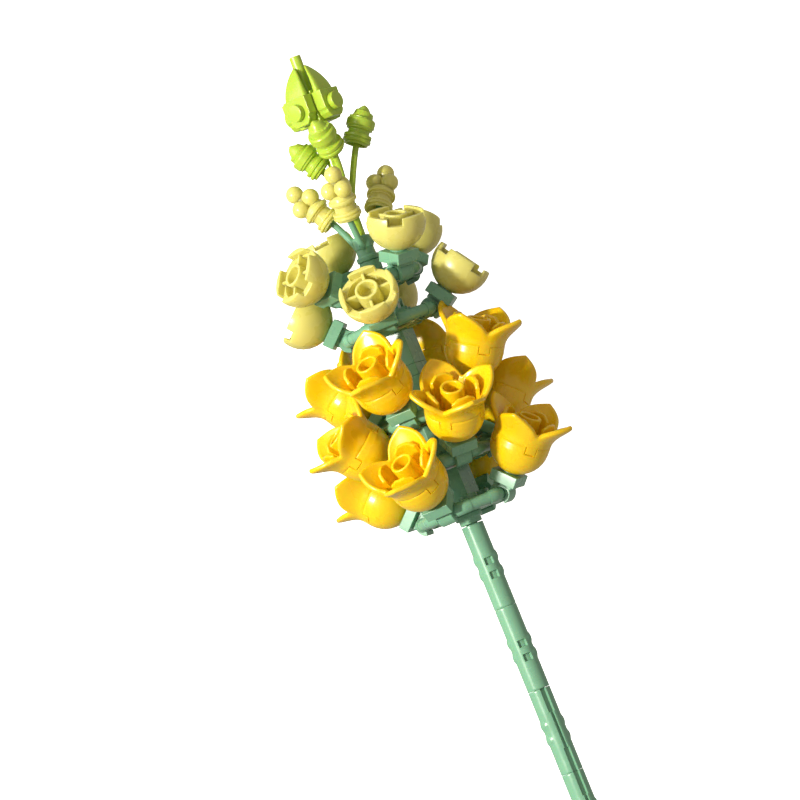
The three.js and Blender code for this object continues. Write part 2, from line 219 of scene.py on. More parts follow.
def swept(profiles):
    """A skin over profiles of radius and height, each at its own angle round the axis."""
    angles = np.array([angle for angle, _ in profiles])
    paths = np.array([path for _, path in profiles])
    rings = [around_axis(row[:, 0], angles, row[:, 1]) for row in paths.swapaxes(0, 1)]
    return surface(rings, closed=False)


def capped(rings):
    """Rings with a pole at the middle of the first and of the last, which closes both ends."""
    first, last = (np.repeat(end.mean(0)[None], len(end), 0) for end in (rings[0], rings[-1]))
    return [first, *rings, last]


def lathe(profile, sides=48, edge=0.15):
    """A turned solid; the profile runs from the bottom, round the outside, to the axis."""
    angles = np.linspace(0, 2 * math.pi, sides, endpoint=False)
    return surface([around_axis(radius, angles, up) for radius, up in rounded(profile, edge)])


def from_bmesh(bm):
    shape = [tuple(v.co) for v in bm.verts], [tuple(v.index for v in f.verts) for f in bm.faces]
    bm.free()
    return shape


def softened(bm, edge, angle=35):
    """Rounds the sharp edges of a bmesh."""
    bm.normal_update()
    sharp = [e for e in bm.edges if e.is_manifold and e.calc_face_angle(0) > math.radians(angle)]
    bmesh.ops.bevel(
        bm, geom=sharp, offset=edge, segments=2, profile=0.5, affect="EDGES", clamp_overlap=True
    )
    bm.verts.index_update()
    return from_bmesh(bm)


def block(width, depth, bottom, top, x=0.0, y=0.0, edge=0.15):
    bm = bmesh.new()
    bmesh.ops.create_cube(bm, size=1)
    size = Matrix.Diagonal((width, depth, top - bottom, 1))
    bmesh.ops.transform(bm, matrix=shift(x, y, (bottom + top) / 2) @ size, verts=bm.verts)
    return softened(bm, edge)


def slab(outline, low, high, edge=0.15, plane=Matrix.Identity(4)):
    """A flat outline pushed from low to high along its own Z, with its edges rounded."""
    bm = bmesh.new()
    face = bm.faces.new([bm.verts.new((x, y, low)) for x, y in outline])
    push = bmesh.ops.extrude_face_region(bm, geom=[face])
    lifted = [v for v in push["geom"] if isinstance(v, bmesh.types.BMVert)]
    bmesh.ops.translate(bm, vec=(0, 0, high - low), verts=lifted)
    bmesh.ops.recalc_face_normals(bm, faces=bm.faces)
    bmesh.ops.transform(bm, matrix=plane, verts=bm.verts)
    return softened(bm, edge)


def along(start, end):
    """The matrix that takes +Z from the origin to the line from start towards end."""
    line = Vector(end) - Vector(start)
    return Matrix.Translation(start) @ line.to_track_quat("Z", "Y").to_matrix().to_4x4()


def rod(start, end, radius, sides=24, edge=0.2):
    length = (Vector(end) - Vector(start)).length
    profile = [(0, 0), (radius, 0), (radius, length), (0, length)]
    return moved(lathe(profile, sides, edge), along(start, end))


# Geometry Nodes trees

def node(tree, kind, settings=None, **links):
    """Adds a node, sets its settings and fills its sockets with values or with other sockets."""
    made = tree.nodes.new(kind)
    for key, value in (settings or {}).items():
        setattr(made, key, value)
    for key, value in links.items():
        name = key.replace("_", " ")
        socket = made.inputs[int(key[1:])] if key[1:].isdigit() else made.inputs[name]
        if isinstance(value, bpy.types.NodeSocket):
            tree.links.new(value, socket)
        else:
            socket.default_value = value
    return made


def new_tree(name, inputs):
    tree = bpy.data.node_groups.new(name, "GeometryNodeTree")
    tree.interface.new_socket("Mesh", in_out="INPUT", socket_type="NodeSocketGeometry")
    tree.interface.new_socket("Mesh", in_out="OUTPUT", socket_type="NodeSocketGeometry")
    for label, kind in inputs:
        tree.interface.new_socket(label, in_out="INPUT", socket_type="NodeSocket" + kind)
    return tree, tree.nodes.new("NodeGroupInput").outputs


def close_tree(tree, result, finish):
    """Ends a tree with Realize Instances and Set Material."""
    real = node(tree, "GeometryNodeRealizeInstances", Geometry=result)
    welded = node(
        tree, "GeometryNodeMergeByDistance", Geometry=real.outputs[0], Distance=0.004
    )
    painted = node(
        tree, "GeometryNodeSetMaterial", Geometry=welded.outputs[0], Material=finish
    )
    tree.links.new(painted.outputs[0], tree.nodes.new("NodeGroupOutput").inputs[0])
    return tree


def ring_tree():
    """Copies of a mesh turned about Z, each pushed out from the axis by Radius."""
    inputs = [("Copies", "Int"), ("Radius", "Float"), ("Start", "Float"), ("Finish", "Material")]
    tree, given = new_tree("Ring of copies", inputs)
    out = node(tree, "ShaderNodeMath", {"operation": "MULTIPLY"}, _0=given["Radius"], _1=-1.0)
    push = node(tree, "ShaderNodeCombineXYZ", Y=out.outputs[0])
    pushed = node(
        tree, "GeometryNodeTransform", Geometry=given["Mesh"], Translation=push.outputs[0]
    )
    spots = node(tree, "GeometryNodePoints", Count=given["Copies"])
    step = node(
        tree, "ShaderNodeMath", {"operation": "DIVIDE"}, _0=2 * math.pi, _1=given["Copies"]
    )
    index = node(tree, "GeometryNodeInputIndex")
    angle = node(
        tree, "ShaderNodeMath", {"operation": "MULTIPLY_ADD"},
        _0=index.outputs[0], _1=step.outputs[0], _2=given["Start"],
    )
    turn = node(tree, "ShaderNodeCombineXYZ", Z=angle.outputs[0])
    copies = node(
        tree, "GeometryNodeInstanceOnPoints",
        Points=spots.outputs[0], Instance=pushed.outputs[0], Rotation=turn.outputs[0],
    )
    return close_tree(tree, copies.outputs[0], given["Finish"])


def bar_tree():
    """A round bar that follows the mesh's edges, with rounded bends."""
    inputs = [("Bar radius", "Float"), ("Bend radius", "Float"), ("Finish", "Material")]
    tree, given = new_tree("Bar along a path", inputs)
    line = node(tree, "GeometryNodeMeshToCurve", Mesh=given["Mesh"])
    bends = node(
        tree, "GeometryNodeFilletCurve", {"mode": "POLY"},
        Curve=line.outputs[0], Count=5, Radius=given["Bend radius"], Limit_Radius=True,
    )
    ring = node(
        tree, "GeometryNodeCurvePrimitiveCircle", Resolution=22, Radius=given["Bar radius"]
    )
    bar = node(
        tree, "GeometryNodeCurveToMesh",
        Curve=bends.outputs[0], Profile_Curve=ring.outputs[0], Fill_Caps=True,
    )
    return close_tree(tree, bar.outputs[0], given["Finish"])


def run_tree(tree, vertices, edges, faces, values):
    """Runs a tree once on a mesh and returns the plain result in mm."""
    mesh = bpy.data.meshes.new("made")
    mesh.from_pydata(vertices, edges, faces)
    carrier = bpy.data.objects.new("made", mesh)
    bpy.context.collection.objects.link(carrier)
    modifier = carrier.modifiers.new("Nodes", "NODES")
    modifier.node_group = tree
    for item in tree.interface.items_tree:
        if item.in_out == "INPUT" and item.name in values:
            modifier[item.identifier] = values[item.name]
    graph = bpy.context.evaluated_depsgraph_get()
    result = bpy.data.meshes.new_from_object(carrier.evaluated_get(graph))
    carrier.modifiers.remove(modifier)
    shape = (
        [tuple(v.co) for v in result.vertices],
        [tuple(p.vertices) for p in result.polygons],
    )
    bpy.data.objects.remove(carrier)
    bpy.data.meshes.remove(mesh)
    bpy.data.meshes.remove(result)
    return shape


def tree_named(name, maker):
    return bpy.data.node_groups.get(name) or maker()


def ring_of(shape, copies, radius=0.0, start=0.0):
    values = {"Copies": copies, "Radius": radius, "Start": math.radians(start)}
    values["Finish"] = bpy.data.materials[0]
    return run_tree(tree_named("Ring of copies", ring_tree), shape[0], [], shape[1], values)


def bar_along(points, radius, bend=0.0, closed=False):
    count = len(points)
    edges = [(i, (i + 1) % count) for i in range(count if closed else count - 1)]
    values = {"Bar radius": radius, "Bend radius": bend, "Finish": bpy.data.materials[0]}
    return run_tree(tree_named("Bar along a path", bar_tree), points, edges, [], values)


# Shapes of the pieces

BODY_RADIUS = 8.1
BODY_FOOT = -7.75
TUBE_RADIUS = 3.25
SEAM_HEIGHT = 2.0
SEAM_TOOTH = (1.6, 2.1)
SEAM_WIDTH = 0.17
VALLEY = (9.0, 5.2)


def sphere_radius(height):
    return math.sqrt(max(BODY_RADIUS**2 - height**2, 0))


def bloom_radius(height):
    """The bloom's body is half a ball below its middle and straight above it."""
    return sphere_radius(min(height, 0))


def seam_depth(across, height):
    """How deep the seam between cup and crown is at a spot: across is mm from a valley's middle."""
    half, drop = SEAM_TOOTH
    low = SEAM_HEIGHT - drop
    side = abs(abs(across) - half)
    if low <= height <= SEAM_HEIGHT and side < SEAM_WIDTH:
        return 1 - side / SEAM_WIDTH
    if abs(across) > half:
        return 0.4 * max(0.0, 1 - abs(height - SEAM_HEIGHT) / SEAM_WIDTH)
    return max(0.0, 1 - abs(height - low) / SEAM_WIDTH)


def petal_fall(angle, point, ease=0.2):
    """0 at the middle of a petal, 1 in the valley, for an angle from the petal's middle."""
    away = min(abs(angle) / 45, 1)
    left = 1 - point * away - (1 - point) * away**4
    return 1 - (math.hypot(left, ease) - ease) / (math.hypot(1, ease) - ease)


def cubic(knots, t):
    """Spot and unit direction at a share t of the curve that four knots give."""
    u = 1 - t
    lines = list(zip(*knots))
    spot = [u**3 * a + 3 * u * u * t * b + 3 * u * t * t * c + t**3 * d for a, b, c, d in lines]
    slope = [u * u * (b - a) + 2 * u * t * (c - b) + t * t * (d - c) for a, b, c, d in lines]
    length = math.hypot(*slope)
    return tuple(spot), (slope[0] / length, slope[1] / length)


def crown_quarter(sizes):
    """A quarter of a bloom, from the middle of one petal to the middle of the next."""
    tip = (sizes.petal_reach * 1000, sizes.petal_height * 1000)
    wall = sizes.petal_wall * 1000
    seam_radius = 8.0
    notch = math.degrees(SEAM_TOOTH[0] / seam_radius)
    offsets = sorted(
        list(np.linspace(-45, 45, 25))
        + [s * (notch + d) for s in (-1, 1) for d in (-1.2, 0, 1.2)]
    )
    low = SEAM_HEIGHT - SEAM_TOOTH[1]
    heights = [BODY_FOOT, -7.5, -7.0, -6.2, -5.2, -4.1, -2.9, -1.7]
    heights += [low - SEAM_WIDTH, low, low + SEAM_WIDTH, 0.5, 1.2]
    heights += [SEAM_HEIGHT - SEAM_WIDTH, SEAM_HEIGHT]
    profiles = []
    for offset in offsets:
        path = [(0, BODY_FOOT)]
        across = seam_radius * math.radians(offset)
        for height in heights:
            sunk = sizes.seam_depth * 1000 * seam_depth(across, height)
            path.append((bloom_radius(height) - sunk, height))
        fall = petal_fall(45 - abs(offset), sizes.petal_point)
        reach = between(tip[0], VALLEY[0], fall)
        top = between(tip[1], VALLEY[1], fall)
        foot = (BODY_RADIUS, SEAM_HEIGHT + SEAM_WIDTH)
        knots = [
            foot,
            (BODY_RADIUS, between(foot[1], top, 0.42)),
            (between(reach, BODY_RADIUS, 0.36), between(top, foot[1], 0.32)),
            (reach, top),
        ]
        outer, slopes = zip(*[cubic(knots, t) for t in np.linspace(0, 1, 12)])
        path += outer
        (x, y), (run, rise) = outer[-1], slopes[-1]
        for turn in (30, 60, 90, 120, 150):
            c, s = math.cos(math.radians(turn)), math.sin(math.radians(turn))
            inward, up = wall * (1 - c) / 2, wall / 2 * s
            path.append((x - rise * inward + run * up, y + run * inward + rise * up))
        for (x, y), (run, rise) in list(zip(outer, slopes))[::-1]:
            path.append((x - rise * wall, y + run * wall))
        path += [(6.9, 1.2), (6.5, 0.5), (5.6, -0.9), (4.2, -2.0), (2.8, -2.5), (0, -2.5)]
        profiles.append((math.radians(45 + offset), path))
    return swept(profiles)


def inner_petal_shape():
    """One short thick petal inside the bloom, standing at the front of its ring."""
    middle_radius, half_angle, low, high = 6.75, 29, 0.2, 8.65
    right = (0.0, 0.2, 0.42, 0.47, 0.7, 0.9, 0.97, 0.99, 1)
    turns = np.linspace(0, 2 * math.pi, 20, endpoint=False)
    across = np.copysign(np.abs(np.cos(turns)) ** 0.3, np.cos(turns))
    upward = np.copysign(np.abs(np.sin(turns)) ** 0.22, np.sin(turns))
    rings = []
    for away in [-a for a in right[:0:-1]] + list(right):
        end = abs(away) > 0.98
        top = high - 2.4 * max(abs(away) - 0.45, 0) - (0.2 if end else 0)
        radius = middle_radius + (0.4 if end else 0.55) * across
        height = between(low, top, 0.5 + 0.5 * upward)
        rings.append(around_axis(radius, math.radians(half_angle * away), height))
    return surface(capped(rings))


def bloom_tube_shape():
    outer, bore, top, floor = TUBE_RADIUS, 2.35, 8.5, 2.6
    profile = [(0, -3), (outer, -3), (outer, top), (bore, top), (bore, floor), (0, floor)]
    return lathe(profile, 40, 0.34)


CUP_RIM = 2.3
CUP_FACE = 6.4
CUP_NOTCH = 2.1
CUP_FLOOR = 0.2


def cup_quarter():
    """A quarter of a cup: one lug with a flat inner face, and half a notch on each side."""
    lug = 45 - math.degrees(math.asin(CUP_NOTCH / 7.9))
    steps = [0, 6, 12, 18, 23, lug - 2.5, lug - 0.7, lug, lug + 0.25, lug + 1, lug + 3, 40]
    steps.append(45)
    profiles = []
    for offset in [-s for s in steps[:0:-1]] + steps:
        side = abs(offset)
        inner = CUP_FACE / math.cos(math.radians(min(side, lug)))
        rise = 1.0 if side < lug - 0.5 else 0.93 if side < lug + 0.1 else 0.0
        top = between(CUP_FLOOR, CUP_RIM, rise)
        outer = sphere_radius(top)
        path = [(0, BODY_FOOT)]
        for share in (0, 0.02, 0.08, 0.17, 0.28, 0.4, 0.53, 0.67, 0.82, 0.94):
            height = between(BODY_FOOT, top - 0.15, math.sin(share * math.pi / 2))
            path.append((sphere_radius(height), height))
        edge = 0.14
        path += [
            (sphere_radius(top - edge), top - edge),
            (outer - 0.05, top - 0.04),
            (outer - edge, top),
            (between(outer, inner, 0.5), top),
            (inner + edge, top),
            (inner + 0.04, top - 0.05 * rise),
            (inner, top - edge * rise),
            (between(inner, 6.7, 1 - rise), between(CUP_FLOOR, top, 0.5 * rise)),
            (between(inner, 6.5, 1 - rise), CUP_FLOOR),
            (6.1, CUP_FLOOR),
            (6.02, CUP_FLOOR - 0.1),
            (6.0, -2.6),
            (5.6, -3.3),
            (4.8, -3.6),
            (0, -3.6),
        ]
        profiles.append((math.radians(offset), path))
    return swept(profiles)


def cup_inside():
    """The centre tube of a cup and the two thin ribs that cross behind it."""
    outer, bore, top, floor = TUBE_RADIUS, 2.45, CUP_RIM, -1.4
    profile = [(0, -4), (outer, -4), (outer, top), (bore, top), (bore, floor), (0, floor)]
    parts = [lathe(profile, 40, 0.22)]
    for turn in range(4):
        rib = block(0.8, 3.5, -4, 1.2, 0, -4.75, edge=0.12)
        parts.append(moved(rib, turn_about("Z", 90 * turn)))
    return joined(parts)


def clip_tile_shape():
    """A tile with a clip under it: bar along X, flower towards +Z."""
    outline = []
    outer, inner, opening = 3.05, 1.72, 50
    for angle in np.linspace(-90 + opening, 270 - opening, 29):
        a = math.radians(angle)
        outline.append((outer * math.cos(a), outer * math.sin(a)))
    for angle in np.linspace(270 - opening, -90 + opening, 25):
        a = math.radians(angle)
        outline.append((inner * math.cos(a), inner * math.sin(a)))
    to_bar = Matrix(((0, 0, 1, 0), (1, 0, 0, 0), (0, 1, 0, 0), (0, 0, 0, 1)))
    jaws = slab(outline, -2.3, 2.3, 0.2, to_bar)
    neck = block(4.6, 5.4, 1.9, 3.4, edge=0.2)
    tile = block(7.8, 7.8, 3.05, 6.15, edge=0.18)
    foot = lathe([(0, 6.0), (2.35, 6.0), (2.35, 6.42), (0, 6.42)], 32, 0.05)
    return joined([jaws, neck, tile, foot])


def bar_frame_shape():
    """The octagonal bar frame, with a rounded sleeve at each bend."""
    corner = BAR_RING_RADIUS / math.cos(math.pi / 8)
    points = [
        (corner * math.sin(a), -corner * math.cos(a), 0)
        for a in (math.radians(22.5 + 45 * i) for i in range(8))
    ]
    bend_radius, half, thicker, inset = 2.4, 1.75, 0.28, 0.15
    frame_bar = bar_along(points, BAR_RADIUS, bend=bend_radius, closed=True)
    back = half * math.tan(math.radians(22.5))
    line = [(-half, back, 0), (0, 0, 0), (half, back, 0)]
    elbow = bar_along(line, BAR_RADIUS + thicker, bend=bend_radius)
    elbow = moved(elbow, shift(y=inset - corner))
    return joined([frame_bar, ring_of(elbow, 8, start=22.5)])


def stud_shape():
    profile = [(0, 0), (STUD_RADIUS, 0), (STUD_RADIUS, STUD_HEIGHT), (0, STUD_HEIGHT)]
    return lathe(profile, 32, 0.2)


def hub_shape(column_top):
    """The plate, its bar frame and the bricks stacked on it; the studs are added as copies."""
    half = PLATE / 2
    parts = [block(HUB_SIDE, HUB_SIDE, -half, half, edge=0.18), bar_frame_shape()]
    for turn in range(4):
        web = block(2.0, 3.2, -1.3, 1.3, 0, -10.6, edge=0.2)
        parts.append(moved(web, turn_about("Z", 45 + 90 * turn)))
    bottom, tier = half, 0
    while bottom < column_top - 1:
        top = min(bottom + (9.6 if tier % 2 == 0 else PLATE), column_top)
        parts.append(block(COLUMN_SIDE, COLUMN_SIDE, bottom, top - 0.02, edge=0.16))
        bottom = top
        tier += 1
    return joined(parts)


def ramp(value, start, end):
    """0 before start, 1 after end, and straight between them."""
    return min(max((value - start) / (end - start), 0.0), 1.0)


SLEEVE_BUMPS = (0.41, 0.585)
SLEEVE_POCKETS = (0.45, 0.615)
BUMP_HEIGHT = 0.36
POCKET_DEPTH = 0.8
CHANNEL_DEPTH = 0.8
SLEEVE_SEAM = 0.07


def sleeve_radius(angle, at):
    """Radius of a sleeve at an angle from the front and at a share of its length from the top."""
    radius = SLEEVE_RADIUS
    side = abs(abs(angle) - 90) / 42
    for middle in SLEEVE_BUMPS:
        reach = math.hypot(side, (at - middle) / 0.062)
        radius += BUMP_HEIGHT * max(0.0, 1 - reach**2.4)
    for middle in SLEEVE_POCKETS:
        lengthwise = 1 - ramp(abs(at - middle), 0.036, 0.044)
        crosswise = min(ramp(angle, -11.5, -8.5), 1 - ramp(angle, 31.5, 34.5))
        radius -= POCKET_DEPTH * lengthwise * crosswise
    half = between(15, 9, min(ramp(at, 0.277, 0.283), 1 - ramp(at, 0.717, 0.723)))
    radius -= CHANNEL_DEPTH * (1 - ramp(180 - abs(angle), half, half + 1.5))
    return radius


def sleeve_shape():
    """One stem sleeve, top end at z = 0: side bumps, two pockets in front, a channel behind."""
    walls = [s * (180 - d) for s in (-1, 1) for d in (9, 10.5, 15, 16.5)]
    angles = sorted([*range(-162, 163, 6), *walls, -11.5, -8.5, 31.5, 34.5, 180])
    shares = list(np.linspace(0.004, 0.996, 56)) + [0.277, 0.283, 0.717, 0.723]
    shares += [m + s * d for m in SLEEVE_POCKETS for s in (-1, 1) for d in (0.036, 0.044)]
    bottom, bore = SLEEVE_SEAM - SLEEVE_LENGTH, BAR_RADIUS + 0.15
    rings = []
    for at in [0, *sorted(shares), 1]:
        inset = 0.08 if at in (0, 1) else 0.0
        radii = np.array([sleeve_radius(angle, at) for angle in angles]) - inset
        rings.append(around_axis(radii, np.radians(angles), between(0, bottom, at)))
    rings += [around_axis(bore, np.radians(angles), height) for height in (bottom, 0)]
    rings.append(rings[0])
    return surface(rings)


def core_rod_shape():
    foot = -SLEEVE_COUNT * SLEEVE_LENGTH + GAP
    top = RINGS[0]["level"] - PLATE / 2 - 0.05
    profile = [
        (0, foot), (BAR_RADIUS, foot), (BAR_RADIUS, GAP), (NECK_RADIUS, GAP),
        (NECK_RADIUS, top - 1.4), (FLANGE_RADIUS, top - 1.4), (FLANGE_RADIUS, top), (0, top),
    ]
    return lathe(profile, 48, 0.2)


STALK_RADIUS = 0.9


def stalk(bud, root_reach, root_height, sunk):
    """The round stalk that curves from the sprig's stem into the foot of a bud."""
    turn = math.radians(bud["turn"])
    a = Vector((root_reach * math.sin(turn), -root_reach * math.cos(turn), root_height))
    b, c = (on_sprig(bud) @ Vector((0, 0, distance)) for distance in (-4, sunk))
    line = [a * (1 - t) ** 2 + b * 2 * t * (1 - t) + c * t * t for t in np.linspace(0, 1, 14)]
    return bar_along([tuple(spot) for spot in line], STALK_RADIUS)


def collar_shape():
    body = lathe(
        [(0, 0), (2.95, 0), (2.95, 2.7), (2.6, 3.0), (3.2, 3.0), (3.2, 4.3), (2.6, 4.5),
         (2.5, 6.4), (2.7, 6.6), (2.7, 9.6), (2.3, 10.0), (1.75, 10.0), (1.75, 7.6), (0, 7.6)],
        48, 0.14,
    )
    return joined([body] + [stalk(bud, 1.4, 5.8, 2.6) for bud in PALE_BUDS])


def pale_bud_shape():
    """A pale bud without its three side balls, open end at z = 0."""
    body = lathe(
        [(0, 2.9), (1.6, 2.9), (1.6, 1.5), (2.7, 0.5), (2.8, 0), (3.3, 0), (3.35, 0.55),
         (3.9, 0.7), (3.95, 1.35), (3.55, 1.45), (3.55, 1.7), (3.8, 1.8), (3.8, 2.4),
         (2.9, 2.6), (2.85, 4.3), (3.3, 4.45), (3.3, 4.9), (3.95, 5.0), (3.95, 5.9),
         (3.45, 6.05), (3.3, 6.8), (2.6, 7.4), (0, 7.9)],
        40, 0.1,
    )
    return joined([body, ball_shape(13.0), lathe([(0, 7), (1.5, 7), (1.5, 12), (0, 12)], 16)])


def ball_shape(height, radius=2.42, rows=14):
    profile = [
        (radius * math.sin(a), height - radius * math.cos(a))
        for a in np.linspace(0, math.pi, rows)
    ]
    return lathe(profile, 28, 0.0)


def lime_bud_shape():
    """A lime bud, open end at z = 0: two bands, a neck and a cone with a spiral step."""
    body = lathe(
        [(0, 2.6), (2.5, 2.4), (2.7, 0.3), (2.8, 0), (3.25, 0), (3.3, 0.6), (3.85, 0.75),
         (3.9, 1.5), (3.5, 1.6), (3.5, 1.85), (3.85, 1.95), (3.85, 2.8), (3.0, 3.05),
         (2.95, 4.15), (3.6, 4.35), (3.6, 4.9), (3.95, 5.0), (3.95, 6.9), (3.6, 7.3), (0, 7.5)],
        40, 0.1,
    )
    low, high, cone_radius, coils = 6.9, 11.3, 3.6, 2.2
    turns = np.arange(48) / 48
    rings = [around_axis(0.0, 2 * math.pi * turns, low)]
    for share in np.linspace(0, 1, 34):
        step = (share * coils + turns) % 1
        radius = cone_radius * (1 - share**1.5) ** 0.8 * (0.86 + 0.22 * step**2)
        rings.append(around_axis(radius, 2 * math.pi * turns, between(low, high, share)))
    return joined([body, surface(rings)])


def tooth_shape(bottom):
    """The curved tooth of a tip plate, standing behind the front face and bending inwards."""
    reach, half, root = 8.2, 3.5, 0.5
    turns = np.linspace(0, 2 * math.pi, 24, endpoint=False)
    across = np.copysign(np.abs(np.cos(turns)) ** 0.55, np.cos(turns))
    deep = np.copysign(np.abs(np.sin(turns)) ** 0.6, np.sin(turns))
    rings = []
    for share in np.linspace(0, 1, 16):
        width = half * (1 - share**1.5) ** 0.7 + 0.02
        thick = between(2.4, 0.5, share) / 2
        middle = -UNIT / 2 - 1.2 + 3.0 * share * share
        height = np.full(24, bottom - root + (reach + root) * share)
        rings.append(np.stack([width * across, middle + thick * deep, height], 1))
    return surface(capped(rings))


def tip_plate_shape():
    """One of the four outward plates of the tip, at the front: plate, stud and tooth."""
    middle, half = UNIT / 2 + 0.4, UNIT / 2
    face = -(half + PLATE)
    outline = [
        (-3.9, 3.9), (3.9, 3.9), (3.9, -1.2), (3.3, -1.9), (3.3, -2.6), (2.2, -3.9),
        (-2.2, -3.9), (-3.3, -2.6), (-3.3, -1.9), (-3.9, -1.2),
    ]
    to_front = shift(0, face, middle) @ turn_about("X", 90)
    plate = slab(outline, -3.2, 0, 0.22, to_front)
    stud = rod((0, face + 0.5, middle), (0, face - STUD_HEIGHT, middle), STUD_RADIUS, 36)
    return joined([plate, stud, tooth_shape(middle + half)])


def lime_stem_shape():
    """The lime stem with its stalks and buds, and the tip's core and rod."""
    foot = COLLAR_TOP - 2.2
    parts = [rod((0, 0, foot), (0, 0, TIP["base"] + 1), BAR_RADIUS, 28)]
    parts.append(lathe([(0, 16.4), (2.1, 16.4), (2.1, 19.2), (0, 19.2)], 32, 0.3))
    bud_form = lime_bud_shape()
    for bud in LIME_BUDS:
        parts.append(stalk(bud, 0.6, COLLAR_TOP + 8.5, 3))
        parts.append(moved(bud_form, on_sprig(bud)))
    core = block(UNIT - 0.4, UNIT - 0.4, 0, UNIT + 1.2, edge=0.2)
    rod_top = rod((0, 0, UNIT), (0, 0, TIP["rod_top"] - TIP["base"]), BAR_RADIUS, 28, 0.25)
    at = shift(z=TIP["base"]) @ turn_about("Z", TIP["turn"])
    parts.append(moved(joined([core, rod_top]), at))
    return joined(parts)


# Materials: moulded ABS, glossy, with the faint waviness of a polished mould

def hex_colour(text):
    """An sRGB hex colour as linear values."""
    channels = [int(text[i:i + 2], 16) / 255 for i in (0, 2, 4)]
    return [c / 12.92 if c <= 0.04045 else ((c + 0.055) / 1.055) ** 2.4 for c in channels]


ABS_IOR = 1.54

# Widths of the patterns in metres
CLOUD_WIDTH = 0.014
SMEAR_WIDTH = 0.006
WAVE_WIDTH = 0.0025
GRAIN_WIDTH = 0.004


def moulded_abs(name, colour, gloss, scatter, reach, depth):
    """Solid-coloured ABS from a polished mould: even colour, sharp highlights, soft edges of light.

    Flow clouds 14 mm wide vary the colour a little, smears of handling 6 mm wide vary the gloss,
    and 2.5 mm waves bend the reflections.
    The lighter plastics are translucent. Scatter is the share of light that spreads inside, depth
    is how far in metres, and reach is how far red, green and blue go of that.
    """
    material = bpy.data.materials.new(name)
    material.use_nodes = True
    tree = material.node_tree
    shader = tree.nodes["Principled BSDF"]
    spot = node(tree, "ShaderNodeTexCoord").outputs["Object"]
    clouds = node(tree, "ShaderNodeTexNoise", Vector=spot, Scale=1 / CLOUD_WIDTH, Detail=2.0)
    deep = [c * 0.93 for c in colour]
    pale = [min(1, c * 1.05 + 0.004) for c in colour]
    tint = node(
        tree, "ShaderNodeMix", {"data_type": "RGBA"},
        _0=clouds.outputs[0], _6=(*deep, 1), _7=(*pale, 1),
    )
    tree.links.new(tint.outputs[2], shader.inputs["Base Color"])
    handling = node(tree, "ShaderNodeTexNoise", Vector=spot, Scale=1 / SMEAR_WIDTH, Detail=4.0)
    rough = node(
        tree, "ShaderNodeMapRange", Value=handling.outputs[0],
        From_Min=0.3, From_Max=0.7, To_Min=gloss * 0.8, To_Max=gloss * 1.3,
    )
    tree.links.new(rough.outputs[0], shader.inputs["Roughness"])
    waves = node(tree, "ShaderNodeTexNoise", Vector=spot, Scale=1 / WAVE_WIDTH, Detail=1.0)
    bump = node(
        tree, "ShaderNodeBump", Strength=0.35, Distance=0.00004, Height=waves.outputs[0]
    )
    tree.links.new(bump.outputs[0], shader.inputs["Normal"])
    shader.inputs["IOR"].default_value = ABS_IOR
    shader.inputs["Subsurface Weight"].default_value = scatter
    shader.inputs["Subsurface Radius"].default_value = reach
    shader.inputs["Subsurface Scale"].default_value = depth
    return material


def white_board():
    """Matt white card under the flower, with a faint grain drawn 4 mm wide to show."""
    material = bpy.data.materials.new("Matt white card, calendered")
    material.use_nodes = True
    tree = material.node_tree
    shader = tree.nodes["Principled BSDF"]
    spot = node(tree, "ShaderNodeTexCoord").outputs["Object"]
    grain = node(tree, "ShaderNodeTexNoise", Vector=spot, Scale=1 / GRAIN_WIDTH, Detail=3.0)
    tint = node(
        tree, "ShaderNodeMix", {"data_type": "RGBA"},
        _0=grain.outputs[0], _6=(*hex_colour("CFCFCD"), 1), _7=(*hex_colour("D6D6D5"), 1),
    )
    tree.links.new(tint.outputs[2], shader.inputs["Base Color"])
    shader.inputs["Roughness"].default_value = 0.75
    tree.links.new(tint.outputs[2], shader.inputs["Emission Color"])
    shader.inputs["Emission Strength"].default_value = 1.8
    return material


# For each slot: the material's name, and its scatter, reach and depth
FINISHES = {
    "stem_green": ("Moulded ABS, sand green", 0.1, (1.0, 0.3, 0.05), 0.0008),
    "petal_yellow": ("Moulded ABS, warm yellow", 0.3, (1.0, 0.3, 0.05), 0.0008),
    "pale_yellow": ("Moulded ABS, cool light yellow", 0.7, (1.0, 0.92, 0.55), 0.003),
    "lime": ("Moulded ABS, lime", 0.3, (1.0, 0.3, 0.05), 0.0008),
}


def paint(slot):
    """The material of a slot, made from the panel's colour the first time."""
    name, *spread = FINISHES[slot]
    if name not in bpy.data.materials:
        finish = bpy.context.scene.snapdragon_finish
        moulded_abs(name, list(getattr(finish, slot)), finish.gloss, *spread)
    return bpy.data.materials[name]


# Finished objects

def form(name, shape):
    """A clean mesh in mm, with its faces turned outwards."""
    mesh = bpy.data.meshes.new(name)
    mesh.from_pydata(shape[0], [], shape[1])
    bm = bmesh.new()
    bm.from_mesh(mesh)
    bmesh.ops.remove_doubles(bm, verts=bm.verts, dist=WELD)
    bmesh.ops.dissolve_degenerate(bm, edges=bm.edges, dist=0.8 * WELD)
    bmesh.ops.recalc_face_normals(bm, faces=bm.faces)
    bm.to_mesh(mesh)
    bm.free()
    return mesh


